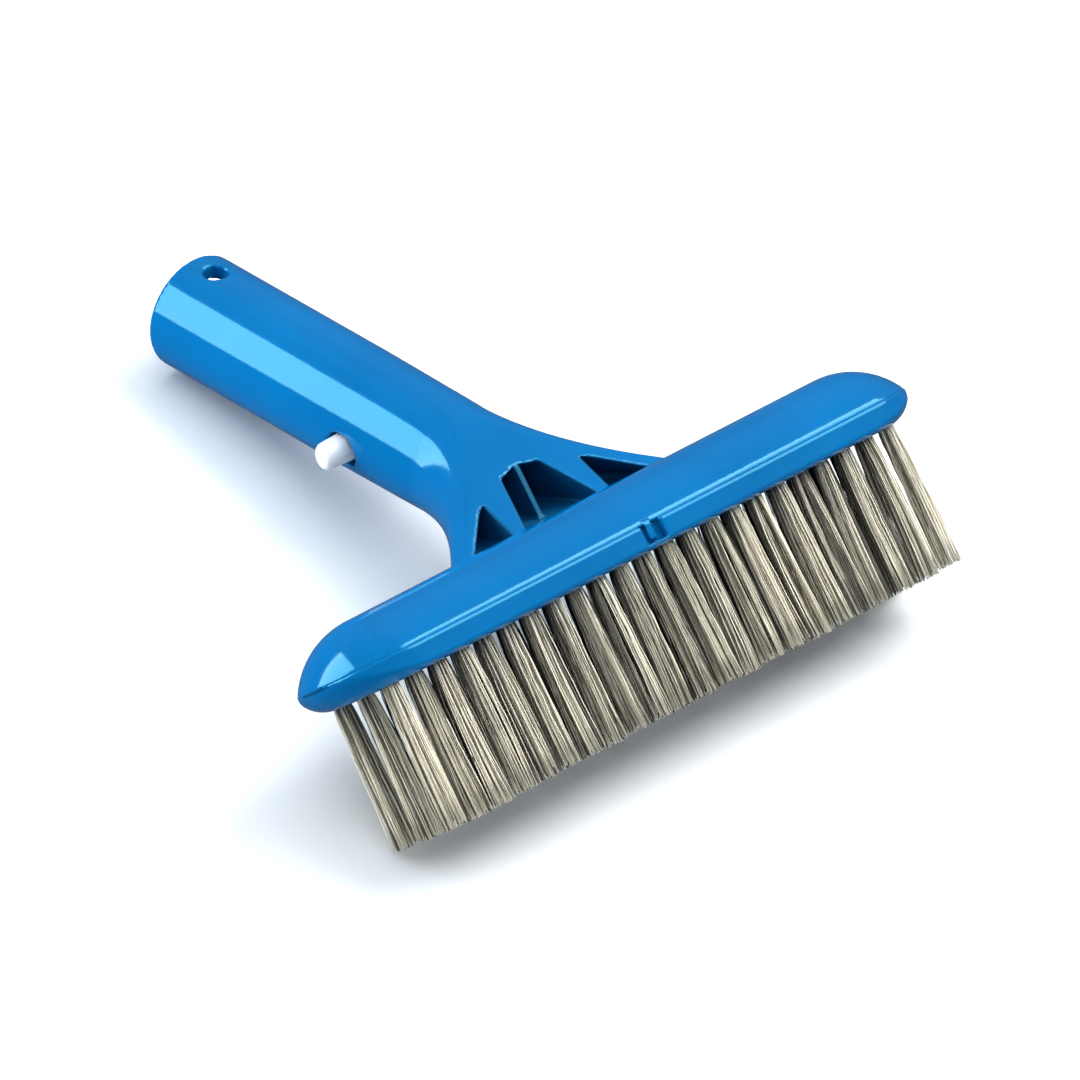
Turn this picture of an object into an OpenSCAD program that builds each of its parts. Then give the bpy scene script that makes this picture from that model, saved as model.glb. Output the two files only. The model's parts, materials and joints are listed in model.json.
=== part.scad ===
// Pool wall brush: a hand-width brush head with three rows of wire tufts,
// moulded in one piece with a hollow handle that slips into a pole and is
// held there by two sprung buttons.
//
// Every piece is built in the head's own frame: X along the head, Z away from
// the bristles, and the handle leaning towards +Y. rest_pose() then lays the
// brush down on its rear bristle tips and the free end of its handle.

/* [Head] */
// Length of the head, nose to nose
head_len = 185; // [150:1:260]
// Width of the head across the bristle block
head_w = 38; // [34:1:46]
// Height of the head above the face that carries the bristles
head_h = 17.2; // [16:0.2:20]
// Height of the band of the bristle block that shows below the back
band_h = 6.5; // [6:0.1:7.5]
// How far the block stands proud of the back along its two sides
ledge_w = 1.1; // [0.5:0.1:2]
// Radius that rounds the underside of both noses
nose_round = 8; // [6.5:0.5:8]
// Wall thickness of the hollow back
shell_wall = 2.6; // [2:0.1:3]

/* [Bristles] */
// Tufts in one row
tufts_per_row = 23; // [9:2:23]
// Distance between tufts along a row
tuft_pitch = 7.2; // [6.9:0.02:7.2]
// Distance between two rows
row_pitch = 10.45; // [9:0.05:10.5]
// Length of the wires outside the block
bristle_len = 36; // [20:0.2:45]
// Radius of a tuft where it leaves the block
tuft_root_r = 1.95; // [1.5:0.05:1.95]
// Radius of a tuft at its tips
tuft_tip_r = 3.35; // [2:0.05:3.35]

/* [Handle] */
// Outside radius of the handle
tube_r = 14.3; // [13.8:0.1:15]
// Wall thickness of the handle
tube_wall = 3.8; // [3:0.1:3.8]
// Length from the middle of the head to the free end, along the handle
handle_len = 142; // [135:0.1:180]
// Angle between the handle and the square-on direction of the head
lean = 49.8; // [40:0.1:55]
// Length at the free end that is turned to the pole's inside diameter
spigot_len = 58; // [50:1:58]
// How much smaller in radius the handle is behind that length
spigot_relief = 0.2; // [0.2:0.05:0.4]
// Radius of the rounded rim
rim_round = 1.2; // [0.4:0.1:1.2]
// Radius of the cross hole for a bolt
bolt_hole_r = 3.2; // [2.5:0.1:3.4]
// Distance of the cross hole from the free end
bolt_hole_from_end = 8.4; // [8:0.1:9]

/* [Neck] */
// Extra half width of the neck where it meets the head
neck_flare = 17.4; // [8:0.2:20]
// Angle between the neck's sloping faces and the handle's centre line
neck_wedge = 18.35; // [16:0.05:19]
// Half width of the middle pocket at the crest of the head
pocket_half_w = 11.2; // [8:0.1:12]
// Distance of the side pockets' upright walls from the middle
side_pocket_x = 15.4; // [14:0.1:16]
// Thickness of the web behind the pockets
web_wall = 2.4; // [2:0.1:3]
// Thickness of the rib in the middle pocket
rib_wall = 1.6; // [1.6:0.1:3]

/* [Clip] */
// Distance of the two buttons from the free end
button_from_end = 66; // [66:0.5:68]
// Radius of a button at its foot
button_r = 3.8; // [2.8:0.1:3.8]
// Height of a button above the handle, on the side of the head
button_high = 6.2; // [5:0.1:7]
// Height of a button above the handle, on the side of the free end
button_low = 5; // [4:0.1:5.2]
// How far the buttons lie below the handle's centre line
button_drop = 2.4; // [0:0.1:2.4]
// Thickness of the clip's spring strip
strip_t = 2; // [1.4:0.1:2]
// Width of the clip's spring strip
strip_w = 7; // [5:0.5:7]

/* [Hidden] */
$fn = 96;
hull_fn = 32;
// Thickness of the slices that the neck is hulled from
slice = 0.02;
// How far a cut runs past the face that it starts from
cut = 0.5;
// Longer than anything here
far = 200;

body_blue = [0.02, 0.52, 0.82];
block_blue = [0.03, 0.47, 0.76];
wire_tan = [0.70, 0.66, 0.57];
staple_steel = [0.75, 0.76, 0.78];
clip_white = [0.93, 0.94, 0.94];

// The back is a rod with ball ends that is cut flat above the block.
dome_half_w = head_w / 2 - ledge_w;
dome_rise = head_h - band_h;
dome_r = (dome_half_w * dome_half_w + dome_rise * dome_rise) / (2 * dome_rise);
dome_z = head_h - dome_r;
dome_x = head_len / 2 - dome_half_w;

// The noses are cut from a wider rounded shape, so that they curve in below.
nose_r = 23;
nose_x = head_len / 2 - nose_r;

// The block's plug fills the mouth of the hollow back.
plug_h = 2.6;
plug_gap = 0.1;
plug_half_w = 13.4;
plug_x = head_len / 2 - head_w / 2;

// A tongue of the back snaps into a notch on each side of the block.
notch_w = 6.2;
notch_z = 1.5;
notch_deep = 2.2;
tongue_w = 2.2;
tongue_gap = 0.1;
tongue_foot_gap = 0.3;

// Each tuft is folded over a staple that bites into both sides of its hole.
tuft_hole_r = 2;
tuft_sunk = 4.2;
tuft_held_r = 1.6;
staple_gap = 0.2;
staple_h = 1.4;
staple_t = 0.5;
staple_len = 5;
row_len = (tufts_per_row - 1) * tuft_pitch;

// The handle's centre line crosses the middle plane of the head here.
pivot_z = 4.4;
root_r = tube_r - spigot_relief;
bore_r = tube_r - tube_wall;
neck_top = 53;
bore_start = 51.4;
neck_thin = 2.5;
neck_foot = 19.6;
neck_stations = [53, 46, 39, 32, 25, 18, 11];

// Heights and half widths of the middle pocket, seen square-on from the front.
pocket_top = 31;
pocket_shoulder_z = 29.4;
pocket_shoulder_half = 5.9;
pocket_foot_z = 12;
pocket_wall_slope = (pocket_half_w - pocket_shoulder_half) / (pocket_shoulder_z - head_h);
pocket_foot_half = pocket_half_w + (head_h - pocket_foot_z) * pocket_wall_slope;
pocket_end = 47;
rib_front_y = 18.4;

// Each side pocket is a triangle with a blunt top.
side_pocket_top = 26;
side_pocket_slope = 1.27;
side_pocket_blunt = 0.8;
side_pocket_foot_x = side_pocket_x + (side_pocket_top - pocket_foot_z) * side_pocket_slope;

// How far the tube's round outside runs on inside the neck
tube_root = 6;

// The clip stands in the bore with its bow towards the free end.
button_at = handle_len - button_from_end;
button_slot = 0.9;
clip_drop = 1;
leg_x = 8.2;
hinge_at = 112.6;
hinge_gap = 0.15;
button_hole_r = 4.3;
// Radius of a button's top as a part of its foot's
button_taper = 0.84;
// How deep a button's foot is sunk in the leg
button_sunk = 0.2;

// Lying down: a line from the tips of the rear row to the handle's rim.
tip_y = row_pitch + tuft_tip_r;
rim_s = handle_len - rim_round;
rim_n = tube_r - rim_round;
rim_y = rim_s * sin(lean) + rim_n * cos(lean);
rim_z = pivot_z + rim_s * cos(lean) - rim_n * sin(lean);
tip_to_rim = norm([rim_y - tip_y, rim_z + bristle_len]);
lie_angle = atan2(rim_z + bristle_len, rim_y - tip_y) - asin(rim_round / tip_to_rim);
lift = tip_y * sin(lie_angle) + bristle_len * cos(lie_angle);
rest_front = -tip_y * cos(lie_angle) - bristle_len * sin(lie_angle);
upper_rim_y = rim_s * sin(lean) - rim_n * cos(lean);
upper_rim_z = pivot_z + rim_s * cos(lean) + rim_n * sin(lean);
rest_rear = upper_rim_y * cos(lie_angle) + upper_rim_z * sin(lie_angle) + rim_round;
rest_shift = -(rest_front + rest_rear) / 2;

function neck_half_w(s) =
    root_r + neck_flare * pow((neck_top - s) / (neck_top - neck_foot), 1.8);

function neck_half_t(s) =
    s >= bore_start ? root_r
                    : max(neck_thin, root_r - (bore_start - s) * tan(neck_wedge));

// Points of an arc in the plane, from angle a0 to a1.
function arc(cx, cy, r, a0, a1, steps = 8) =
    [for (i = [0:steps]) let(a = a0 + (a1 - a0) * i / steps) [cx + r * cos(a), cy + r * sin(a)]];

module rest_pose() {
    translate([0, rest_shift, lift]) rotate([-lie_angle, 0, 0]) children();
}

// The handle's frame: Z along the centre line, Y towards the underside.
module handle_frame() {
    translate([0, 0, pivot_z]) rotate([-lean, 0, 0]) children();
}

// The clip's frame: the handle's, moved down to the middle of the strip.
module clip_frame() {
    handle_frame() translate([0, clip_drop, 0]) children();
}

// A prism with round ends along X.
module stadium(half_len, r, h) {
    translate([-half_len, -r, 0]) cube([2 * half_len, 2 * r, h]);
    for (side = [-1, 1]) translate([side * half_len, 0, 0]) cylinder(r = r, h = h);
}

// A rod with ball ends, lying along X.
module ball_rod(r, half_len) {
    translate([-half_len, 0, 0]) rotate([0, 90, 0]) cylinder(r = r, h = 2 * half_len);
    for (side = [-1, 1]) translate([side * half_len, 0, 0]) sphere(r = r);
}

module above(z) {
    intersection() {
        children();
        translate([-far, -far, z]) cube([2 * far, 2 * far, far]);
    }
}

module dome() {
    above(band_h) translate([0, 0, dome_z]) ball_rod(dome_r, dome_x);
}

module head_hollow() {
    translate([0, 0, band_h - cut])
        stadium(plug_x, plug_half_w + plug_gap, plug_h + plug_gap + cut);
    above(band_h + plug_h) translate([0, 0, dome_z]) ball_rod(dome_r - shell_wall, dome_x);
}

module neck_section(s) {
    half_t = neck_half_t(s);
    centre_x = neck_half_w(s) - half_t;
    translate([0, 0, s])
        for (side = [-1, 1])
            translate([side * centre_x, 0, 0])
                cylinder(r = half_t, h = slice, center = true, $fn = hull_fn);
}

module neck() {
    for (i = [0:len(neck_stations) - 2])
        hull() {
            neck_section(neck_stations[i]);
            neck_section(neck_stations[i + 1]);
        }
}

// Space in front of the web, as a slab along X in the handle's frame.
module pocket_space() {
    web_s = bore_start - (tube_r - web_wall) / tan(neck_wedge);
    handle_frame()
        rotate([90, 0, 90])
            linear_extrude(2 * far, center = true)
                polygon([[-far, web_s], [0, web_s],
                         [(pocket_end - web_s) * tan(neck_wedge), pocket_end],
                         [-far, pocket_end]]);
}

module window(points) {
    rotate([90, 0, 0]) linear_extrude(2 * far, center = true) polygon(points);
}

module middle_window() {
    window([[-pocket_foot_half, pocket_foot_z], [pocket_foot_half, pocket_foot_z],
            [pocket_shoulder_half, pocket_shoulder_z], [0, pocket_top],
            [-pocket_shoulder_half, pocket_shoulder_z]]);
}

module side_window(side) {
    window([[side * side_pocket_x, pocket_foot_z], [side * side_pocket_foot_x, pocket_foot_z],
            [side * (side_pocket_x + side_pocket_blunt), side_pocket_top],
            [side * side_pocket_x, side_pocket_top - side_pocket_blunt]]);
}

module pockets() {
    intersection() {
        pocket_space();
        union() {
            difference() {
                middle_window();
                translate([-rib_wall / 2, rib_front_y, 0]) cube([rib_wall, far, far]);
            }
            side_window(-1);
            side_window(1);
        }
    }
}

// Outer skin of the tube, with its rounded rim and the relief behind the spigot.
module tube_outside() {
    shoulder = handle_len - spigot_len;
    rotate_extrude()
        polygon(concat([[0, neck_top - tube_root], [root_r, neck_top - tube_root], [root_r, shoulder],
                        [tube_r, shoulder]],
                       arc(tube_r - rim_round, rim_s, rim_round, 0, 90),
                       [[0, handle_len]]));
}

module tube_openings() {
    translate([0, 0, bore_start]) cylinder(r = bore_r, h = handle_len);
    translate([0, 0, handle_len - bolt_hole_from_end])
        rotate([90, 0, 0]) cylinder(r = bolt_hole_r, h = 4 * tube_r, center = true);
    for (at = [button_at, button_at - button_slot])
        translate([0, button_drop, at])
            rotate([0, 90, 0]) cylinder(r = button_hole_r, h = 4 * tube_r, center = true);
    translate([-2 * tube_r, button_drop - button_hole_r, button_at - button_slot])
        cube([4 * tube_r, 2 * button_hole_r, button_slot]);
}

module tongues() {
    for (side = [0, 180])
        rotate([0, 0, side])
            translate([-tongue_w / 2, -dome_half_w, notch_z + tongue_foot_gap])
                cube([tongue_w, notch_deep - ledge_w - tongue_gap, band_h - notch_z]);
}

module brush_back() {
    color(body_blue)
        rest_pose() {
            difference() {
                union() {
                    dome();
                    above(band_h) handle_frame() neck();
                    handle_frame() tube_outside();
                }
                difference() {
                    pockets();
                    dome();
                }
                head_hollow();
                handle_frame() tube_openings();
            }
            tongues();
        }
}

module tuft_places(row) {
    for (i = [0:tufts_per_row - 1])
        translate([-row_len / 2 + i * tuft_pitch, row * row_pitch, 0]) children();
}

module staple() {
    translate([-staple_len / 2, -staple_t / 2, tuft_sunk])
        cube([staple_len, staple_t, staple_h]);
}

// Half of the nose shape's cross section, from its centre outwards.
module nose_profile() {
    polygon(concat([[0, 0]], arc(nose_r - nose_round, nose_round, nose_round, 270, 360),
                   [[nose_r, 2 * head_h], [0, 2 * head_h]]));
}

module nose_shape() {
    for (side = [0, 180]) {
        rotate([0, 0, side]) translate([nose_x, 0, 0]) rotate_extrude() nose_profile();
        rotate([0, 0, side]) translate([-nose_x, 0, 0])
            rotate([90, 0, 90]) linear_extrude(2 * nose_x) nose_profile();
    }
}

module block_outside() {
    intersection() {
        union() {
            stadium(plug_x, head_w / 2, band_h);
            stadium(plug_x, plug_half_w, band_h + plug_h);
        }
        nose_shape();
    }
}

module bristle_block() {
    color(block_blue)
        rest_pose()
            difference() {
                block_outside();
                for (side = [0, 180])
                    rotate([0, 0, side])
                        translate([-notch_w / 2, -head_w / 2 - cut, notch_z])
                            cube([notch_w, notch_deep + cut, band_h]);
                for (row = [-1:1])
                    tuft_places(row) {
                        translate([0, 0, -cut]) cylinder(r = tuft_hole_r, h = tuft_sunk + cut);
                        staple();
                    }
            }
}

// The wires are pressed together in the hole and fan out below it.
module tuft() {
    rotate_extrude()
        polygon([[0, tuft_sunk - staple_gap], [tuft_held_r, tuft_sunk - staple_gap],
                 [tuft_held_r, 0], [tuft_root_r, -(tuft_root_r - tuft_held_r)],
                 [tuft_tip_r, -bristle_len], [0, -bristle_len]]);
}

module tuft_row(row) {
    color(wire_tan) rest_pose() tuft_places(row) tuft();
}

module staple_row(row) {
    color(staple_steel) rest_pose() tuft_places(row) staple();
}

module clip_bow() {
    color(clip_white)
        rest_pose()
            clip_frame()
                difference() {
                    translate([0, 0, hinge_at])
                        rotate([90, 0, 0])
                            translate([0, 0, -strip_w / 2])
                                rotate_extrude(angle = 180)
                                    translate([leg_x - strip_t / 2, 0]) square([strip_t, strip_w]);
                    for (side = [-1, 1])
                        translate([side * leg_x, 0, hinge_at])
                            rotate([90, 0, 0])
                                cylinder(r = strip_t / 2 + hinge_gap, h = 2 * strip_w, center = true);
                }
}

// A button on the +X side, its top sloping down towards the free end.
module button() {
    top_high = tube_r + button_high;
    top_low = tube_r + button_low;
    foot = leg_x + strip_t / 2 - button_sunk;
    slope = atan2(button_high - button_low, 2 * button_r);
    difference() {
        translate([foot, button_drop - clip_drop, button_at])
            rotate([0, 90, 0])
                cylinder(r1 = button_r, r2 = button_r * button_taper, h = top_high - foot + cut);
        translate([(top_high + top_low) / 2, 0, button_at])
            rotate([0, -slope, 0]) translate([0, -far / 2, -far / 2]) cube([far, far, far]);
    }
}

module clip_leg(side) {
    color(clip_white)
        rest_pose()
            clip_frame()
                mirror([side < 0 ? 1 : 0, 0, 0]) {
                    translate([leg_x - strip_t / 2, -strip_w / 2, button_at])
                        cube([strip_t, strip_w, hinge_at - button_at]);
                    translate([leg_x, 0, hinge_at])
                        rotate([90, 0, 0]) cylinder(r = strip_t / 2, h = strip_w, center = true);
                    translate([leg_x - strip_t / 2, 0, button_at])
                        rotate([0, 90, 0]) cylinder(r = strip_w / 2, h = strip_t);
                    button();
                }
}

module tuft_row_front() { tuft_row(-1); }
module tuft_row_middle() { tuft_row(0); }
module tuft_row_rear() { tuft_row(1); }
module staple_row_front() { staple_row(-1); }
module staple_row_middle() { staple_row(0); }
module staple_row_rear() { staple_row(1); }
module clip_leg_left() { clip_leg(-1); }
module clip_leg_right() { clip_leg(1); }

brush_back();
bristle_block();
tuft_row_front();
tuft_row_middle();
tuft_row_rear();
staple_row_front();
staple_row_middle();
staple_row_rear();
clip_bow();
clip_leg_left();
clip_leg_right();
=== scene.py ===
"""Looks of the pool wall brush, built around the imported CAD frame.

The moulded pieces are signed distance fields turned into meshes, so that their edges and fillets are
rounded as on a moulding. The wires of each tuft are real strands. Lengths are in millimetres in the
head's own frame, as in the CAD source, and become metres in the row frame when a mesh is made. Lamps
and camera are placed in the row frame, in metres.
"""
import json
import math

import bpy
import numpy as np
from mathutils import Matrix, Vector


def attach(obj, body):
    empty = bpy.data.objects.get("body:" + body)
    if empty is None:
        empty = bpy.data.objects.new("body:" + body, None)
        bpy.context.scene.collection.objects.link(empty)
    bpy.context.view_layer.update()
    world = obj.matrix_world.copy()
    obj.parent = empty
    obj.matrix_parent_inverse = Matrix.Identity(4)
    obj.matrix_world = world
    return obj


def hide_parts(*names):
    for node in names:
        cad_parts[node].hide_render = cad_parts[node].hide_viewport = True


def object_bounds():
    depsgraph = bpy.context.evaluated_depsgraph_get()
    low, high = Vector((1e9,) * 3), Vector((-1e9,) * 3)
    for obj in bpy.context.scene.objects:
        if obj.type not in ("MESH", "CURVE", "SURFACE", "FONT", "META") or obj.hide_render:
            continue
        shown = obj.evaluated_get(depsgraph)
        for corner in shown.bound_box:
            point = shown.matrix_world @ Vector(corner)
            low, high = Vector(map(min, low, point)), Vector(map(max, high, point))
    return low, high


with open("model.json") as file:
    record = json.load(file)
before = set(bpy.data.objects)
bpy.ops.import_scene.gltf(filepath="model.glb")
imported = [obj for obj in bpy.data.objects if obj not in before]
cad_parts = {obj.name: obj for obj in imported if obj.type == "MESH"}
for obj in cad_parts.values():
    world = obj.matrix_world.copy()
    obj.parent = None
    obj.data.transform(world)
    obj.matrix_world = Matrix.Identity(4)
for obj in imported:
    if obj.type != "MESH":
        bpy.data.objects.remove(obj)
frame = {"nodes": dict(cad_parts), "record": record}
cad_low, cad_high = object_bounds()

# ---------------------------------------------------------------- sizes, mm
# The head: the back's dome above the block's band, and the plug and tongues that join the two. The
# band's top is a little lower at the noses, and the dome and the neck end buried in the block.
HEAD_LEN, HEAD_W, HEAD_H = 185.0, 38.0, 17.2
BAND_H = 6.5
LEDGE_W = 1.1
NOSE_R, NOSE_ROUND = 23.0, 8.0
NOSE_DROP = 0.12
SHELL_WALL = 2.6
PLUG_H, PLUG_HALF_W, PLUG_GAP = 2.6, 13.4, 0.1
PLUG_Z = 1.0
NOTCH_W, NOTCH_Z, NOTCH_DEEP = 6.2, 1.5, 2.2
TONGUE_W = 2.2
TONGUE_GAP, TONGUE_UP, TONGUE_PROUD = 0.3, 0.8, 0.05
BURIED = 0.6

# The tufts.
TUFTS_PER_ROW = 23
TUFT_PITCH, ROW_PITCH = 7.2, 10.45
TUFT_ROOT_R, TUFT_TIP_R = 1.95, 3.35
TUFT_HOLE_R, TUFT_SUNK = 2.0, 4.2
BRISTLE_LEN = 36.0

# The handle's tube.
PIVOT_Z = 4.4
LEAN = 49.8
HANDLE_LEN = 142.0
TUBE_R, TUBE_WALL = 14.3, 3.8
BORE_START = 51.4
SPIGOT_LEN, SPIGOT_RELIEF, RELIEF_RUN = 58.0, 0.2, 20.0
RIM_ROUND = 1.2
BOLT_HOLE_R, BOLT_HOLE_FROM_END = 3.2, 8.4
BUTTON_HOLE_R, BUTTON_SLOT = 4.3, 0.9

# The neck, with places along it measured from the pivot. It widens towards the head from its top, and
# its wedge sets in a little later and more softly than a straight one at the bore's start would.
NECK_START, NECK_TOP, NECK_FOOT = 6.0, 53.0, 19.6
NECK_OVERLAP = 6.0
NECK_FLARE, NECK_CURVE, FLARE_END = 17.4, 1.8, 5.0
NECK_WEDGE = 18.35
NECK_THIN = 2.5
THINNING_LATE, THINNING_SOFT = 2.5, 4.5
NECK_SUNK, SUNK_RUN = 0.3, 1.5

# The pockets. Outlines are x and z of the +X half, and the middle one runs on past x = 0.
WEB_WALL, RIB_WALL, EDGE_WALL = 2.4, 1.6, 1.6
RIB_Y = 18.4
POCKET_END = 47.0
POCKET_LOW_Z = 10.0
SIDE_POCKET_X = 15.4
MIDDLE_POCKET = [(-20, POCKET_LOW_Z), (14.2, POCKET_LOW_Z), (5.9, 29.4), (0, 31), (-20, 36.4)]
SIDE_POCKET = [(SIDE_POCKET_X, POCKET_LOW_Z), (35.8, POCKET_LOW_Z), (16.9, 25.3), (SIDE_POCKET_X, 25.9)]

# The clip. Its buttons' tips slope, and its middle line and its buttons lie below the tube's axis.
BUTTON_FROM_END, HINGE_FROM_END = 66.0, 29.4
BUTTON_R, BUTTON_TAPER = 3.8, 0.84
BUTTON_HIGH, BUTTON_LOW = 6.2, 5.0
BUTTON_DROP, CLIP_DROP = 2.4, 1.0
STRIP_T, STRIP_W = 2.0, 7.0
LEG_X = 8.2
HINGE_GAP = 0.15

# Radii of moulded edges and fillets. The band's edge follows the ledge's width, between two limits.
EDGE, MOUTH_EDGE = 0.3, 0.35
DOME_EDGE, TUFT_HOLE_EDGE, BORE_EDGE = 0.2, 0.2, 0.4
MIDDLE_POCKET_EDGE, SIDE_POCKET_EDGE, POCKET_FLOOR_EDGE, POCKET_MOUTH_EDGE = 0.5, 0.6, 0.8, 0.45
LEDGE_EDGE_SHARE, LEDGE_EDGES = 0.8, (0.3, 0.9)
NECK_FILLET, BUTTON_FILLET, BUTTON_EDGE = 1.6, 0.5, 1.5

DOME_HALF_W = HEAD_W / 2 - LEDGE_W
DOME_RISE = HEAD_H - BAND_H
DOME_R = (DOME_HALF_W ** 2 + DOME_RISE ** 2) / (2 * DOME_RISE)
DOME_Z = HEAD_H - DOME_R
DOME_X = HEAD_LEN / 2 - DOME_HALF_W
PLUG_X = HEAD_LEN / 2 - HEAD_W / 2
BORE_R = TUBE_R - TUBE_WALL
ROOT_R = TUBE_R - SPIGOT_RELIEF
BUTTON_AT = HANDLE_LEN - BUTTON_FROM_END
HINGE_AT = HANDLE_LEN - HINGE_FROM_END
ROW_LEN = (TUFTS_PER_ROW - 1) * TUFT_PITCH
SIN_LEAN, COS_LEAN = math.sin(math.radians(LEAN)), math.cos(math.radians(LEAN))
TAN_WEDGE = math.tan(math.radians(NECK_WEDGE))

# ------------------------------------------------- the head's frame in the row frame
record = frame["record"]
spigot = next(m for m in record["mounts"] if m["name"] == "handle_spigot")
along = Vector(spigot["axis"]).normalized()
under = Vector((0, along.z, -along.y))
head_y = along * SIN_LEAN + under * COS_LEAN
head_z = along * COS_LEAN - under * SIN_LEAN
spigot_mid = HANDLE_LEN - (SPIGOT_LEN + RIM_ROUND) / 2
head_origin = Vector(spigot["pos_m"]) - (along * spigot_mid + head_z * PIVOT_Z) / 1000
HEAD_TURN = np.array([(1, 0, 0), head_y, head_z])


def to_row(points):
    """Points in the head's frame, in millimetres, as points in the row frame, in metres."""
    return points @ HEAD_TURN / 1000 + np.array(head_origin)


def handle_coords(p):
    """x, distance towards the underside, and distance along the handle."""
    y, z = p[:, 1], p[:, 2] - PIVOT_Z
    return p[:, 0], y * COS_LEAN - z * SIN_LEAN, y * SIN_LEAN + z * COS_LEAN


# ------------------------------------------------------------ distance fields
def join(a, b, r=0.0):
    """Union with a round fillet of radius r."""
    if np.ndim(r) == 0 and r == 0:
        return np.minimum(a, b)
    reach = np.hypot(np.maximum(r - a, 0), np.maximum(r - b, 0))
    return np.maximum(r, np.minimum(a, b)) - reach


def meet(a, b, r=0.0):
    """Intersection with an edge rounded to radius r."""
    return -join(-a, -b, r)


def cut(a, b, r=0.0):
    """a without b, with a rounded edge."""
    return meet(a, -b, r)


def stadium(p, half_len, r):
    """An upright wall of radius r round a stretch of the X axis."""
    return np.hypot(p[:, 0] - np.clip(p[:, 0], -half_len, half_len), p[:, 1]) - r


def rod(p, half_len, r, z):
    """A round-ended rod of radius r along X at height z."""
    along_x = p[:, 0] - np.clip(p[:, 0], -half_len, half_len)
    return np.sqrt(along_x ** 2 + p[:, 1] ** 2 + (p[:, 2] - z) ** 2) - r


def slab(v, low, high):
    """Everything between two values of v."""
    return np.maximum(low - v, v - high)


def box2(u, v, half_u, half_v, r=0.0):
    """A rectangle with corners of radius r."""
    du, dv = np.abs(u) - half_u + r, np.abs(v) - half_v + r
    return np.hypot(np.maximum(du, 0), np.maximum(dv, 0)) + np.minimum(np.maximum(du, dv), 0) - r


def box3(x, y, z, half_x, half_y, half_z, r=0.0):
    """A box with edges of radius r."""
    d = [np.abs(v) - h + r for v, h in ((x, half_x), (y, half_y), (z, half_z))]
    outside = np.sqrt(sum(np.maximum(v, 0) ** 2 for v in d))
    return outside + np.minimum(np.maximum.reduce(d), 0) - r


def outline(x, z, points, r=0.0):
    """A convex outline in the XZ plane, given anticlockwise, with its corners rounded."""
    d = None
    for (x0, z0), (x1, z1) in zip(points, points[1:] + points[:1]):
        length = math.hypot(x1 - x0, z1 - z0)
        side = ((x - x0) * (z1 - z0) - (z - z0) * (x1 - x0)) / length
        d = side if d is None else meet(d, side, r)
    return d


def soft_ramp(v, soft):
    """v above zero, zero below it, with a soft start."""
    return np.logaddexp(0, v / soft) * soft


def neck_thinning(s):
    """How much thinner than the tube the neck is, with a soft start."""
    return soft_ramp(BORE_START - THINNING_LATE - s, THINNING_SOFT) * TAN_WEDGE


def neck_section(x, s):
    """Distance past the neck's flat faces, and its half thickness."""
    down = np.clip(NECK_TOP - s, 0, NECK_TOP - FLARE_END)
    half_w = ROOT_R + NECK_FLARE * (down / (NECK_TOP - NECK_FOOT)) ** NECK_CURVE
    half_t = np.maximum(ROOT_R - neck_thinning(s), NECK_THIN)
    return np.abs(x) - (half_w - half_t), half_t


def neck_field(x, n, s):
    """The neck, its last stretch sunk a little into the tube."""
    flat, half_t = neck_section(x, s)
    sunk = NECK_SUNK * np.clip((s - NECK_TOP + SUNK_RUN) / SUNK_RUN, 0, 1)
    round_side = np.hypot(np.maximum(flat, 0), n) - half_t + sunk
    return meet(round_side, slab(s, NECK_START, NECK_TOP))


def pocket_field(p, x, n, s):
    """The three pockets, which leave a web at the rear, a wall at the neck's edge, and a rib."""
    px, py, pz = np.abs(p[:, 0]), p[:, 1], p[:, 2]
    web = TUBE_R - WEB_WALL - (BORE_START - s) * TAN_WEDGE
    space = np.maximum(n - web, s - POCKET_END)
    flat, half_t = neck_section(x, s)
    edge = np.hypot(np.maximum(flat, 0), np.maximum(n, 0)) - half_t + EDGE_WALL
    rib = np.maximum(px - RIB_WALL / 2, RIB_Y - py)
    middle = cut(outline(px, pz, MIDDLE_POCKET, MIDDLE_POCKET_EDGE), rib, MOUTH_EDGE)
    side = outline(px, pz, SIDE_POCKET, SIDE_POCKET_EDGE)
    return meet(np.minimum(middle, side), np.maximum(space, edge), POCKET_FLOOR_EDGE)


def tube_field(x, n, s):
    """The tube, flattened where it comes near the neck, as the neck is."""
    thinner = neck_thinning(s)
    radius = np.hypot(np.maximum(np.abs(x) - thinner, 0), n) + thinner
    relief = SPIGOT_RELIEF * np.clip((HANDLE_LEN - SPIGOT_LEN - s) / RELIEF_RUN, 0, 1)
    return meet(radius - TUBE_R + relief, slab(s, NECK_TOP - NECK_OVERLAP, HANDLE_LEN), RIM_ROUND)


def tube_openings(x, n, s):
    """The bore, and the bolt and button holes, each through both walls."""
    bore = np.maximum(np.hypot(x, n) - BORE_R, BORE_START - s)
    bolt = np.hypot(x, s - (HANDLE_LEN - BOLT_HOLE_FROM_END)) - BOLT_HOLE_R
    bolt = np.maximum(bolt, TUBE_R / 2 - np.abs(n))
    slot_s = s - np.clip(s, BUTTON_AT - BUTTON_SLOT, BUTTON_AT)
    button = np.maximum(np.hypot(n - BUTTON_DROP, slot_s) - BUTTON_HOLE_R, TUBE_R / 2 - np.abs(x))
    return bore, np.minimum(bolt, button)


def tongue_field(p):
    """The back's two tongues, which hang down in the block's notches."""
    depth = NOTCH_DEEP - LEDGE_W
    low, high = NOTCH_Z + TONGUE_GAP, BAND_H + TONGUE_UP
    out = np.abs(p[:, 1]) - (DOME_HALF_W - depth / 2 + TONGUE_PROUD)
    return box3(p[:, 0], out, p[:, 2] - (low + high) / 2, TONGUE_W / 2, depth / 2, (high - low) / 2, EDGE)


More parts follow.
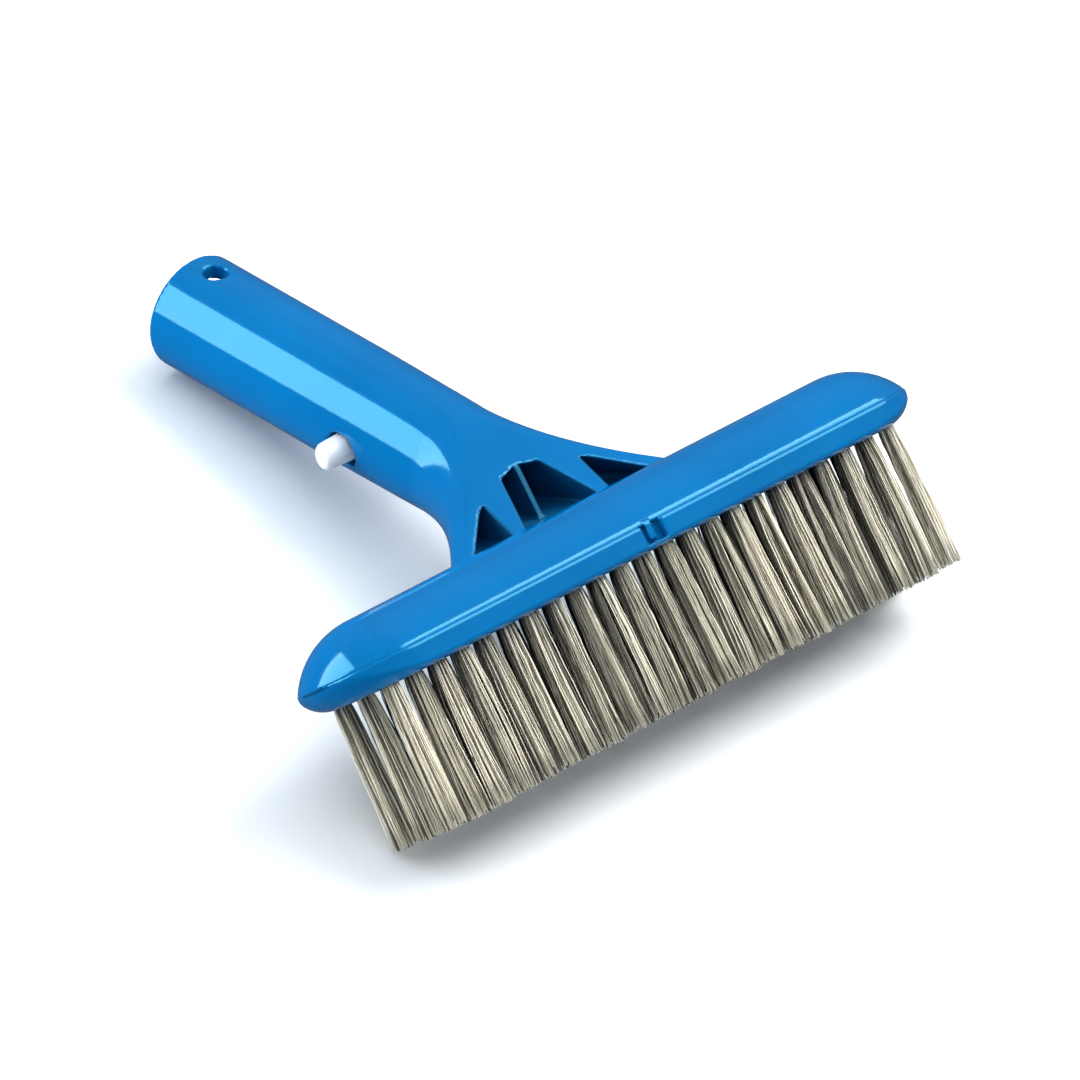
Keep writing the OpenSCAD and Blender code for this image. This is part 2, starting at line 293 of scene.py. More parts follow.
def back_field(p):
    """Dome, neck and tube as one moulding. Dome and neck end a little way down in the block."""
    x, n, s = handle_coords(p)
    z = p[:, 2]
    dome = meet(rod(p, DOME_X, DOME_R, DOME_Z), stadium(p, DOME_X, DOME_HALF_W), DOME_EDGE)
    dome = np.maximum(dome, BAND_H - BURIED - z)
    neck = cut(neck_field(x, n, s), pocket_field(p, x, n, s), POCKET_MOUTH_EDGE)
    neck = np.maximum(neck, BAND_H - BURIED - z)
    body = join(join(dome, neck, NECK_FILLET), tube_field(x, n, s))
    plug_room = np.maximum(stadium(p, PLUG_X, PLUG_HALF_W + PLUG_GAP), z - BAND_H - PLUG_H - PLUG_GAP)
    shell_room = np.maximum(rod(p, DOME_X, DOME_R - SHELL_WALL, DOME_Z), BAND_H + PLUG_H - z)
    bore, holes = tube_openings(x, n, s)
    body = cut(body, join(plug_room, shell_room))
    body = cut(body, bore, BORE_EDGE)
    body = cut(body, holes, MOUTH_EDGE)
    return np.minimum(body, tongue_field(p))


def block_field(p):
    """Band and plug, with the notches for the tongues and a blind hole for each tuft."""
    z = p[:, 2]
    side = stadium(p, PLUG_X, HEAD_W / 2)
    ledge = stadium(p, DOME_X, DOME_HALF_W) - side
    top = z - BAND_H + NOSE_DROP * np.clip(1 - ledge / LEDGE_W, 0, 1)
    band = meet(side, top, np.clip(ledge * LEDGE_EDGE_SHARE, *LEDGE_EDGES))
    nose = meet(stadium(p, HEAD_LEN / 2 - NOSE_R, NOSE_R), -z, NOSE_ROUND)
    band = meet(band, nose, EDGE)
    plug = meet(stadium(p, PLUG_X, PLUG_HALF_W), slab(z, PLUG_Z, BAND_H + PLUG_H), EDGE)
    notch = box2(p[:, 0], np.abs(p[:, 1]) - HEAD_W / 2, NOTCH_W / 2, NOTCH_DEEP, EDGE)
    block = cut(np.minimum(band, plug), np.maximum(notch, NOTCH_Z - z), MOUTH_EDGE)
    column = np.clip(np.round(p[:, 0] / TUFT_PITCH), -(TUFTS_PER_ROW // 2), TUFTS_PER_ROW // 2)
    row = np.clip(np.round(p[:, 1] / ROW_PITCH), -1, 1)
    hole = np.hypot(p[:, 0] - column * TUFT_PITCH, p[:, 1] - row * ROW_PITCH) - TUFT_HOLE_R
    return cut(block, np.maximum(hole, z - TUFT_SUNK), TUFT_HOLE_EDGE)


def leg_field(side):
    """One leg of the clip with its button, on the -X or the +X side."""
    def field(p):
        x, n, s = handle_coords(p)
        x, n = x * side, n - CLIP_DROP
        out = x - LEG_X
        strip = box3(out, n, s - (HINGE_AT + BUTTON_AT) / 2,
                     STRIP_T / 2, STRIP_W / 2, (HINGE_AT - BUTTON_AT) / 2, EDGE)
        end = meet(np.hypot(n, s - BUTTON_AT) - STRIP_W / 2, np.abs(out) - STRIP_T / 2, EDGE)
        barrel = meet(np.hypot(out, s - HINGE_AT) - STRIP_T / 2, np.abs(n) - STRIP_W / 2, EDGE)
        leg = np.minimum(np.minimum(strip, end), barrel)
        reach = TUBE_R + BUTTON_HIGH - LEG_X
        taper = BUTTON_R * (1 - (1 - BUTTON_TAPER) * np.clip(out / reach, 0, 1))
        wall = np.hypot(n + CLIP_DROP - BUTTON_DROP, s - BUTTON_AT) - taper
        slope = (BUTTON_HIGH - BUTTON_LOW) / (2 * BUTTON_R)
        top = x - TUBE_R - (BUTTON_HIGH + BUTTON_LOW) / 2 + (s - BUTTON_AT) * slope
        button = np.maximum(meet(wall, top / math.hypot(1, slope), BUTTON_EDGE), -out)
        return join(leg, button, BUTTON_FILLET)
    return field


def bow_field(p):
    """The clip's bend, with seats for the ends of both legs."""
    x, n, s = handle_coords(p)
    n = n - CLIP_DROP
    ring = np.hypot(x, np.maximum(s - HINGE_AT, 0)) - LEG_X
    strip = box2(ring, n, STRIP_T / 2, STRIP_W / 2, EDGE)
    seats = np.hypot(np.abs(x) - LEG_X, s - HINGE_AT) - STRIP_T / 2 - HINGE_GAP
    return cut(np.maximum(strip, HINGE_AT - s), seats)


# ---------------------------------------------------------------- field to mesh
CHUNK = 8                   # grid points along each side of a chunk
BATCH = 400                 # chunks worked out at a time
FAR = 9.0                   # distance given to chunks that the surface can't reach
TRUST, MARGIN = 1.35, 1.5   # a chunk is near in so many of its radii and millimetres more
FADE = 6.0                  # stretch over which a fine grid becomes a coarse one
FADE_SAMPLES = 2000
PROBE = 0.04                # step for slopes
TINY = 1e-9
FIRMNESS = 0.06             # how strongly a vertex is held to the middle of its cell's crossings
OVERHANG = 0.1              # how far out of its cell a vertex may go, in cells
SETTLE_STEPS, SETTLE_REACH, LEAST_SLOPE = 2, 0.3, 0.3
RECESS_NEAR, RECESS_RUN = 0.375, 0.25
DOME_NEAR, DOME_RUN = 0.2, 0.3


def grid_lines(low, high, step, fine=None):
    """Grid lines along one axis, a whole number of chunks, closer together inside the fine stretch."""
    if fine is None:
        count = math.ceil((high - low) / step / CHUNK) * CHUNK
        return low + step * (np.arange(count) + 0.5)
    start, end, fine_step = fine
    at = np.linspace(low, high, FADE_SAMPLES)
    away = np.maximum(0, np.maximum(start - at, at - end))
    density = 1 / (fine_step + (step - fine_step) * np.clip(away / FADE, 0, 1))
    total = np.concatenate([[0], np.cumsum((density[1:] + density[:-1]) / 2 * np.diff(at))])
    count = math.ceil(total[-1] / CHUNK) * CHUNK
    return np.interp(np.linspace(0, total[-1], count), total, at)


def sample(field, lines):
    """Signed distances on a grid, worked out only in chunks that the surface can reach."""
    parts = [v.reshape(-1, CHUNK) for v in lines]
    chunks = [len(v) for v in parts]
    centres = np.stack(np.meshgrid(*[v.mean(1) for v in parts], indexing="ij"), -1).reshape(-1, 3)
    halves = np.meshgrid(*[(v[:, -1] - v[:, 0]) / 2 for v in parts], indexing="ij")
    reach = np.sqrt(sum(v ** 2 for v in halves)).ravel()
    rough = field(centres)
    values = np.repeat(np.sign(rough)[:, None] * FAR, CHUNK ** 3, 1).astype(np.float32)
    near = np.nonzero(np.abs(rough) < reach * TRUST + MARGIN)[0]
    where = np.stack(np.unravel_index(near, chunks), 1)
    for some in np.array_split(np.arange(len(near)), max(1, len(near) // BATCH)):
        axes = [parts[i][where[some, i]] for i in range(3)]
        shape = (len(some), CHUNK, CHUNK, CHUNK)
        grids = [np.broadcast_to(axes[0][:, :, None, None], shape),
                 np.broadcast_to(axes[1][:, None, :, None], shape),
                 np.broadcast_to(axes[2][:, None, None, :], shape)]
        values[near[some]] = field(np.stack(grids, -1).reshape(-1, 3)).reshape(len(some), -1)
    values = values.reshape(*chunks, CHUNK, CHUNK, CHUNK).transpose(0, 3, 1, 4, 2, 5)
    return values.reshape([n * CHUNK for n in chunks])


def gradient(field, p):
    """The field's slope at each point."""
    slope = np.empty_like(p)
    for i in range(3):
        move = np.zeros(3)
        move[i] = PROBE
        slope[:, i] = (field(p + move) - field(p - move)) / (2 * PROBE)
    return slope


def unit(v):
    """Each row of v with length 1."""
    return v / np.maximum(np.linalg.norm(v, axis=1), TINY)[:, None]


def surface_cells(values):
    """The grid cells that the surface crosses, and on the grid each one's number, or -1."""
    solid = values < 0
    corners_inside = np.zeros([n - 1 for n in values.shape], np.int8)
    size = corners_inside.shape
    for corner in np.ndindex(2, 2, 2):
        corners_inside += solid[tuple(slice(c, c + n) for c, n in zip(corner, size))]
    cells = np.stack(np.nonzero((corners_inside > 0) & (corners_inside < 8)), 1)
    number = np.full(size, -1, np.int64)
    number[tuple(cells.T)] = np.arange(len(cells))
    return cells, number


def edge_crossings(values, lines, axis):
    """Where the surface crosses the grid's edges along an axis: low ends, points, low end inside."""
    first = tuple(slice(0, n - (i == axis)) for i, n in enumerate(values.shape))
    second = tuple(slice(int(i == axis), None) for i in range(3))
    low, high = values[first], values[second]
    spots = np.stack(np.nonzero((low < 0) != (high < 0)), 1)
    a, b = low[tuple(spots.T)].astype(float), high[tuple(spots.T)].astype(float)
    points = np.stack([v[spots[:, i]] for i, v in enumerate(lines)], 1)
    ahead = lines[axis][spots[:, axis] + 1]
    points[:, axis] += a / (a - b) * (ahead - points[:, axis])
    return spots, points, a < 0


def settle(field, p, floor, ceiling):
    """Moves vertices onto the surface, each by no more than a share of its cell."""
    for _ in range(SETTLE_STEPS):
        slope = gradient(field, p)
        move = field(p)[:, None] * slope / np.maximum((slope ** 2).sum(1), LEAST_SLOPE)[:, None]
        p = p - np.clip(move, (floor - ceiling) * SETTLE_REACH, (ceiling - floor) * SETTLE_REACH)
    return p


def net(field, low, high, step, fine=(None, None, None)):
    """Vertices, quads and normals of the field's zero surface, one vertex in each cell it crosses.

    Each vertex goes where the planes through its cell's edge crossings meet, so that edges stay crisp.
    """
    lines = [grid_lines(a, b, step, f) for a, b, f in zip(low, high, fine)]
    values = sample(field, lines)
    cells, number = surface_cells(values)
    count = len(cells)
    matrix, target = np.zeros((count, 3, 3)), np.zeros((count, 3))
    mean, hits = np.zeros((count, 3)), np.zeros(count)
    quads = []
    for axis in range(3):
        spots, points, inside = edge_crossings(values, lines, axis)
        slopes = unit(gradient(field, points))
        level = (slopes * points).sum(1)
        ring = []
        for du, dv in ((-1, -1), (0, -1), (0, 0), (-1, 0)):
            around = spots.copy()
            around[:, (axis + 1) % 3] += du
            around[:, (axis + 2) % 3] += dv
            cell = number[tuple(around.T)]
            ring.append(cell)
            np.add.at(matrix, cell, slopes[:, :, None] * slopes[:, None, :])
            np.add.at(target, cell, slopes * level[:, None])
            np.add.at(mean, cell, points)
            np.add.at(hits, cell, 1)
        quad = np.stack(ring, 1)
        quads.append(np.where(inside[:, None], quad, quad[:, ::-1]))
    mean /= hits[:, None]
    target -= (matrix @ mean[:, :, None])[:, :, 0]
    matrix += FIRMNESS * hits[:, None, None] * np.eye(3)
    p = mean + np.linalg.solve(matrix, target[:, :, None])[:, :, 0]
    floor = np.stack([v[cells[:, i]] for i, v in enumerate(lines)], 1)
    ceiling = np.stack([v[cells[:, i] + 1] for i, v in enumerate(lines)], 1)
    overhang = (ceiling - floor) * OVERHANG
    p = settle(field, np.clip(p, floor - overhang, ceiling + overhang), floor, ceiling)
    return p, np.concatenate(quads), unit(gradient(field, p))


def mesh_object(name, points, faces, normals=None):
    """A smooth-shaded object in the row frame from points in the head's frame."""
    mesh = bpy.data.meshes.new(name)
    points, faces = np.asarray(points), np.asarray(faces)
    mesh.vertices.add(len(points))
    mesh.vertices.foreach_set("co", to_row(points).astype(np.float32).ravel())
    mesh.loops.add(faces.size)
    mesh.loops.foreach_set("vertex_index", faces.astype(np.int32).ravel())
    mesh.polygons.add(len(faces))
    starts = np.arange(0, faces.size, faces.shape[1], dtype=np.int32)
    mesh.polygons.foreach_set("loop_start", starts)
    mesh.polygons.foreach_set("use_smooth", np.ones(len(faces), bool))
    mesh.update(calc_edges=True)
    mesh.validate()
    if normals is not None:
        mesh.normals_split_custom_set_from_vertices((normals @ HEAD_TURN).tolist())
    obj = bpy.data.objects.new(name, mesh)
    bpy.context.scene.collection.objects.link(obj)
    return obj


def recess_share(p):
    """1 on the pockets' walls and 0 elsewhere on the back, with a short run between the two."""
    in_pocket = np.clip((RECESS_NEAR - pocket_field(p, *handle_coords(p))) / RECESS_RUN, 0, 1)
    off_dome = np.clip((rod(p, DOME_X, DOME_R, DOME_Z) - DOME_NEAR) / DOME_RUN, 0, 1)
    return in_pocket * off_dome


def moulding(name, field, low, high, step, fine=(None, None, None)):
    """A moulded piece from its field, with the recess attribute that its plastic reads."""
    points, faces, normals = net(field, low, high, step, fine)
    obj = mesh_object(name, points, faces, normals)
    recess = obj.data.attributes.new("recess", "FLOAT", "POINT")
    if field is back_field:
        recess.data.foreach_set("value", recess_share(points).astype(np.float32))
    print(name, sum(len(f.vertices) - 2 for f in obj.data.polygons), "triangles")
    return obj


def handle_box(s0, s1, reach):
    """Corners in the head's frame of a box round a stretch of the handle."""
    (y0, z0), (y1, z1) = [(s * SIN_LEAN, PIVOT_Z + s * COS_LEAN) for s in (s0, s1)]
    return (-reach, y0 - CLIP_ROOM, z0 - CLIP_ROOM), (reach, y1 + CLIP_ROOM, z1 + CLIP_ROOM)


# ------------------------------------------------------------------- materials
# In the pockets the plastic is rougher, and its colour is darkened as painted shade.
POCKET_PAINTED_SHADE, MATT_ROUGHER = 0.45, 0.5


def new_material(name):
    material = bpy.data.materials.new(name)
    material.use_nodes = True
    tree = material.node_tree
    shader = next(n for n in tree.nodes if n.type == "BSDF_PRINCIPLED")
    return material, tree, shader


def add_node(tree, kind, inputs=None, **settings):
    node = tree.nodes.new(kind)
    for key, value in settings.items():
        setattr(node, key, value)
    for key, value in (inputs or {}).items():
        node.inputs[key].default_value = value
    return node


def ramp(tree, source, low, high, at=(0.0, 1.0)):
    """A colour ramp from low to high driven by source."""
    node = tree.nodes.new("ShaderNodeValToRGB")
    node.color_ramp.elements[0].position, node.color_ramp.elements[1].position = at
    node.color_ramp.elements[0].color = (*low, 1)
    node.color_ramp.elements[1].color = (*high, 1)
    tree.links.new(source, node.inputs[0])
    return node.outputs[0]


def moulded_plastic(name, deep, light, gloss, bump):
    """Gloss-moulded plastic: colour that drifts a little, uneven polish, fine orange peel.

    Where the mesh's recess attribute is 1 the plastic is rougher, and its colour is darkened there as
    painted shade.
    """
    material, tree, shader = new_material(name)
    place = add_node(tree, "ShaderNodeTexCoord").outputs["Object"]
    flow = add_node(tree, "ShaderNodeTexNoise", {"Scale": 28.0, "Detail": 3.0})
    peel = add_node(tree, "ShaderNodeTexNoise", {"Scale": 900.0, "Detail": 2.0})
    scuff = add_node(tree, "ShaderNodeTexNoise", {"Scale": 240.0, "Detail": 6.0, "Roughness": 0.7})
    for node in (flow, peel, scuff):
        tree.links.new(place, node.inputs["Vector"])
    recess = add_node(tree, "ShaderNodeAttribute", attribute_name="recess").outputs["Fac"]
    colour = ramp(tree, flow.outputs[0], deep, light, (0.3, 0.7))
    # Painted shade: the colour darkens towards a darker blue in the pockets.
    pocket_shade = add_node(tree, "ShaderNodeMix", data_type="RGBA")
    tree.links.new(recess, pocket_shade.inputs["Factor"])
    tree.links.new(colour, pocket_shade.inputs["A"])
    pocket_shade.inputs["B"].default_value = (*[v * POCKET_PAINTED_SHADE for v in deep], 1)
    tree.links.new(pocket_shade.outputs["Result"], shader.inputs["Base Color"])
    polish = ramp(tree, scuff.outputs[0], (gloss * 0.85,) * 3, (gloss * 1.3,) * 3, (0.35, 0.75))
    matt = add_node(tree, "ShaderNodeMath", {1: MATT_ROUGHER}, operation="MULTIPLY_ADD")
    tree.links.new(recess, matt.inputs[0])
    tree.links.new(polish, matt.inputs[2])
    tree.links.new(matt.outputs[0], shader.inputs["Roughness"])
    relief = add_node(tree, "ShaderNodeBump", {"Strength": bump, "Distance": 0.0002})
    tree.links.new(peel.outputs[0], relief.inputs["Height"])
    tree.links.new(relief.outputs[0], shader.inputs["Normal"])
    return material, shader


def paint(obj, material):
    obj.data.materials.clear()
    obj.data.materials.append(material)


body_blue, body_shader = moulded_plastic(
    "body_blue", deep=(0.0, 0.114, 0.325), light=(0.0, 0.136, 0.375), gloss=0.09, bump=0.05)
block_blue, block_shader = moulded_plastic(
    "block_blue", deep=(0.0, 0.112, 0.320), light=(0.0, 0.134, 0.370), gloss=0.11, bump=0.05)
for shader in (body_shader, block_shader):
    shader.inputs["Specular Tint"].default_value = (0.2, 0.92, 1.0, 1)
    shader.inputs["Specular IOR Level"].default_value = 0.55
clip_white, clip_shader = moulded_plastic(
    "clip_white", deep=(0.74, 0.76, 0.78), light=(0.80, 0.81, 0.82), gloss=0.36, bump=0.1)
clip_shader.inputs["Subsurface Weight"].default_value = 0.15
clip_shader.inputs["Subsurface Scale"].default_value = 0.002

wire_steel, tree, shader = new_material("wire_steel")
tone_and_shade = add_node(tree, "ShaderNodeAttribute", attribute_name="wire_tone_and_shade").outputs["Fac"]
# The ramp's dark end is the wires' painted shade.
colour = ramp(tree, tone_and_shade, (0.022, 0.019, 0.016), (1.0, 0.92, 0.74))
tree.links.new(colour, shader.inputs["Base Color"])
shader.inputs["Metallic"].default_value = 0.3
shader.inputs["Roughness"].default_value = 0.42

staple_steel, tree, shader = new_material("staple_steel")
place = add_node(tree, "ShaderNodeTexCoord").outputs["Object"]
drawn = add_node(tree, "ShaderNodeTexNoise", {"Scale": 3000.0, "Detail": 2.0})
tree.links.new(place, drawn.inputs["Vector"])
colour = ramp(tree, drawn.outputs[0], (0.45, 0.46, 0.48), (0.68, 0.69, 0.71))
tree.links.new(colour, shader.inputs["Base Color"])
shader.inputs["Metallic"].default_value = 1.0
shader.inputs["Roughness"].default_value = 0.35

# ---------------------------------------------------------------------- pieces
GRID = 1.0
NECK_GRID = 0.57
BLOCK_GRID = GRID * 0.62
CLIP_GRID = 0.34
ROOM, CLIP_ROOM = 2.0, 13.0
BOW_LEN, BOW_REACH, LEG_REACH = 12.0, 13.0, 24.0
BUTTON_ROOM = 6.0
HEAD_X, HEAD_Y = HEAD_LEN / 2 + ROOM, HEAD_W / 2 + ROOM
BACK_LOW_Z, BACK_HIGH_Y, BACK_HIGH_Z = 0.4, 125.0, 112.0
NECK_FINE = ((-34, 34, NECK_GRID), (8, 38, NECK_GRID), (12, 38, NECK_GRID))
BLOCK_LOW_Z, BLOCK_HIGH_Z = -2.0, 12.0

back = moulding("back_moulding", back_field, (-HEAD_X, -HEAD_Y, BACK_LOW_Z),
                (HEAD_X, BACK_HIGH_Y, BACK_HIGH_Z), GRID, NECK_FINE)
paint(back, body_blue)
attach(back, "brush")
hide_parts("brush_back")

block = moulding("block_moulding", block_field,
                 (-HEAD_X, -HEAD_Y, BLOCK_LOW_Z), (HEAD_X, HEAD_Y, BLOCK_HIGH_Z), BLOCK_GRID)
paint(block, block_blue)
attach(block, "brush")
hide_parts("bristle_block")

bow_box = handle_box(HINGE_AT - ROOM, HINGE_AT + BOW_LEN, BOW_REACH)
leg_box = handle_box(BUTTON_AT - BUTTON_ROOM, HINGE_AT + ROOM, LEG_REACH)
clip_parts = [("bow_moulding", bow_field, bow_box, "brush", "clip_bow"),
              ("leg_left_moulding", leg_field(-1), leg_box, "leg_left", "clip_leg_left"),
              ("leg_right_moulding", leg_field(1), leg_box, "leg_right", "clip_leg_right")]
for name, field, box, body, node in clip_parts:
    piece = moulding(name, field, *box, CLIP_GRID)
    paint(piece, clip_white)
    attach(piece, body)
    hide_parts(node)


# ---------------------------------------------------------------------- wires
WIRES_PER_TUFT = 92
WIRE_R = 0.17
WIRE_RINGS, WIRE_SIDES = 10, 3
RING_CROWDING = 1.6
WIRE_LEAN = 1.5
FIRST_SEED = 11

# Rings lie closer together near the root. A tuft's wires part into a few strands on their way down, with
# dark cracks between the strands. No wire reaches further to the rear than its CAD tuft, since the brush
# lies on the rear row's tips.
STRANDS = 5
STRAND_REACH = (0.45, 0.85)
STRAND_PULL = (0.25, 0.6)
STRAY, WANDER = 0.10, 0.35
FLARE = 0.25
END_TUFT_SLIMMER, OTHERS_FATTER = 0.1, 0.15
TUFT_BEND, STRAND_BEND, BEND_CURVE = 0.28, 0.22, 1.5
SWAY, SWAY_TURNS, SWAY_ONSET = 0.12, (2.5, 4.5), 4
REAR_GAP = 0.05
WIRE_SHORTER, TUFT_SHORTER = 0.7, (0.15, 0.7)

# Wires deep in the bundle and at each tuft's sides, next to the neighbouring tufts, are painted dark as
# painted shade; the outer ones are painted bright.
OUTER_TONE, FADE_DEPTH, DARKEST = 1.35, 6.5, 0.03
BETWEEN_FROM, BETWEEN_RUN, BETWEEN_DARK = 0.68, 0.2, 0.92
STAINED_SHARE, STAINED_TONE = 0.24, 0.16
WIRE_TONES, STRAND_TONES = (0.75, 1.25), (0.8, 1.1)


def across(angle):
    """Unit steps along x and y at the given angles."""
    return np.stack([np.cos(angle), np.sin(angle)], -1)


def strands_of(rng, disc):
    """Which strand each wire of a tuft joins, and its place at the tips, on a disc of radius 1."""
    turn = rng.uniform(0, 2 * math.pi) + np.arange(STRANDS) * 2 * math.pi / STRANDS
    strands = across(turn) * rng.uniform(*STRAND_REACH, STRANDS)[:, None]
    nearest = np.argmin(((disc[:, None] - strands[None]) ** 2).sum(2), 1)
    pull = rng.uniform(*STRAND_PULL, (STRANDS, 1))[nearest]
    place = disc * (1 - pull) + strands[nearest] * pull + rng.normal(0, STRAY, disc.shape)
    return nearest, place / np.maximum(np.hypot(*place.T), 1)[:, None]


def wire_paths(rng, disc, nearest, tips, at_end):
    """The wires' x and y from the tuft's axis, and z, as wires by rings by three coordinates."""
    count = len(disc)
    t = np.linspace(0, 1, WIRE_RINGS) ** RING_CROWDING
    fan = t[None, :, None]
    flare = fan ** FLARE
    root = disc[:, None] * (TUFT_ROOT_R - WIRE_R) * (1 - flare)
    wander = rng.normal(0, WANDER, (count, 1, 2)) * fan
    tip_r = TUFT_TIP_R + (-END_TUFT_SLIMMER if at_end else OTHERS_FATTER)
    tip = tips[:, None] * tip_r * flare + wander
    tuft_bend = rng.normal(0, TUFT_BEND, 2) * fan ** BEND_CURVE
    strand_bend = rng.normal(0, STRAND_BEND, (STRANDS, 1, 2))[nearest] * np.sin(math.pi * fan)
    phase = rng.uniform(0, 2 * math.pi, (count, 1))
    phase = phase + rng.uniform(*SWAY_TURNS, (count, 1)) * 2 * math.pi * t
    way = across(rng.uniform(0, 2 * math.pi, (count, 1)))
    sway = (SWAY * np.sin(phase) * np.minimum(1, SWAY_ONSET * t))[:, :, None] * way
    path = root + tip + (tuft_bend + strand_bend) + sway
    path[:, :, 1] = np.minimum(path[:, :, 1], TUFT_TIP_R - WIRE_R - REAR_GAP)
    length = BRISTLE_LEN - np.abs(rng.normal(0, WIRE_SHORTER, count)) - rng.uniform(*TUFT_SHORTER)
    drop = -t[None, :] * length[:, None]
    path[:, :, 0] += drop * math.sin(math.radians(WIRE_LEAN))
    return np.concatenate([path, np.where(t == 0, TUFT_SUNK / 2, drop)[:, :, None]], 2)


def wire_tones_and_shade(rng, disc, nearest, centre, at_end):
    """How bright each wire of a tuft is, from 0 to 1, with painted shade deep in the bundle and at the
    tuft's sides.
    """
    roots = np.abs(np.array(centre) + disc * TUFT_ROOT_R)
    depth = np.minimum(ROW_PITCH + TUFT_ROOT_R - roots[:, 1], ROW_LEN / 2 + TUFT_ROOT_R - roots[:, 0])
    between = np.clip((np.abs(disc[:, 0]) - BETWEEN_FROM) / BETWEEN_RUN, 0, 1) * (not at_end)
    # Painted shade: darker with depth in the bundle and at the sides between tufts.
    shade = np.clip(OUTER_TONE - depth / FADE_DEPTH, DARKEST, 1) * (1 - BETWEEN_DARK * between)
    stained = np.where(rng.uniform(0, 1, len(disc)) < STAINED_SHARE, STAINED_TONE, 1.0)
    tone_and_shade = shade * stained * rng.uniform(*WIRE_TONES, len(disc))
    return np.clip(tone_and_shade * rng.uniform(*STRAND_TONES, STRANDS)[nearest], 0, 1)


def tuft_wires(rng, centre, at_end):
    """One tuft: its wires' centre lines, and their tones."""
    spread = np.sqrt(rng.uniform(0, 1, WIRES_PER_TUFT))
    disc = across(rng.uniform(0, 2 * math.pi, WIRES_PER_TUFT)) * spread[:, None]
    nearest, tips = strands_of(rng, disc)
    paths = wire_paths(rng, disc, nearest, tips, at_end) + np.array([*centre, 0])
    return paths, wire_tones_and_shade(rng, disc, nearest, centre, at_end)


def row_of_wires(name, row, seed):
    """One object with all the wires of a row, each a thin three-sided prism along its centre line."""
    rng = np.random.default_rng(seed)
    half = TUFTS_PER_ROW // 2
    tufts = [tuft_wires(rng, (i * TUFT_PITCH, row * ROW_PITCH), abs(i) == half)
             for i in range(-half, half + 1)]
    lines, tones_and_shade = [np.concatenate(parts) for parts in zip(*tufts)]
    turn = rng.uniform(0, 2 * math.pi, (len(lines), 1)) + np.arange(WIRE_SIDES) * 2 * math.pi / WIRE_SIDES
    points = np.repeat(lines[:, :, None], WIRE_SIDES, 2)
    points[..., :2] += across(turn)[:, None] * WIRE_R
    index = np.arange(points[..., 0].size).reshape(-1, WIRE_RINGS, WIRE_SIDES)
    after = np.roll(index, -1, 2)
    sides = np.stack([index[:, :-1], index[:, 1:], after[:, 1:], after[:, :-1]], -1).reshape(-1, 4)
    obj = mesh_object(name, points.reshape(-1, 3), sides)
    add_caps(obj.data, np.concatenate([index[:, 0], index[:, -1, ::-1]]))
    tone_and_shade = obj.data.attributes.new("wire_tone_and_shade", "FLOAT", "POINT")
    tone_and_shade.data.foreach_set("value", np.repeat(tones_and_shade, WIRE_RINGS * WIRE_SIDES).astype(np.float32))
    return obj


def add_caps(mesh, caps):
    """Closes the ends of the wires."""
    loops, faces = len(mesh.loops), len(mesh.polygons)
    mesh.loops.add(caps.size)
    mesh.polygons.add(len(caps))
    corner = np.empty(len(mesh.loops), np.int32)
    mesh.loops.foreach_get("vertex_index", corner)
    corner[loops:] = caps.ravel()
    mesh.loops.foreach_set("vertex_index", corner)
    starts = np.empty(len(mesh.polygons), np.int32)
    mesh.polygons.foreach_get("loop_start", starts)
    starts[faces:] = loops + np.arange(len(caps)) * caps.shape[1]
    mesh.polygons.foreach_set("loop_start", starts)
    mesh.update(calc_edges=True)


rows = [(-1, "tuft_row_front"), (0, "tuft_row_middle"), (1, "tuft_row_rear")]
for seed, (row, node) in enumerate(rows, FIRST_SEED):
    wires = row_of_wires(node.replace("tuft", "wire"), row, seed)
    paint(wires, wire_steel)
    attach(wires, "brush")
    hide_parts(node)

for name in ("staple_row_front", "staple_row_middle", "staple_row_rear"):
    paint(frame["nodes"][name], staple_steel)

# ----------------------------------------------------------------- floor, light
FLOOR_SIZE, FLOOR_GAP = 12.0, 0.0002


def plane(name, size):
    """A square on the ground, in metres."""
    mesh = bpy.data.meshes.new(name)
    h = size / 2
    mesh.from_pydata([(-h, -h, 0), (h, -h, 0), (h, h, 0), (-h, h, 0)], [], [(0, 1, 2, 3)])
    obj = bpy.data.objects.new(name, mesh)
    bpy.context.scene.collection.objects.link(obj)
    return obj


floor = plane("floor", FLOOR_SIZE)
floor.location.z = -FLOOR_GAP
floor_white, _, shader = new_material("floor_white")
shader.inputs["Base Color"].default_value = (0.93, 0.94, 0.95, 1)
shader.inputs["Roughness"].default_value = 0.7
shader.inputs["Specular IOR Level"].default_value = 0.0
paint(floor, floor_white)
floor.visible_glossy = False


def area_light(name, direction, distance, size, power, aim, wide_along, colour=(1, 1, 1)):
    """A rectangular lamp in a direction from the aim point, its width along a given line."""
    lamp = bpy.data.lights.new(name, "AREA")
    lamp.shape = "RECTANGLE"
    lamp.size, lamp.size_y = size
    lamp.energy = power
    lamp.color = colour
    obj = bpy.data.objects.new(name, lamp)
    way = Vector(direction).normalized()
    wide = (wide_along - way * wide_along.dot(way)).normalized()
    turn = Matrix((wide, way.cross(wide), way)).transposed().to_4x4()
    obj.matrix_world = Matrix.Translation(aim + way * distance) @ turn
    bpy.context.scene.collection.objects.link(obj)
    return obj


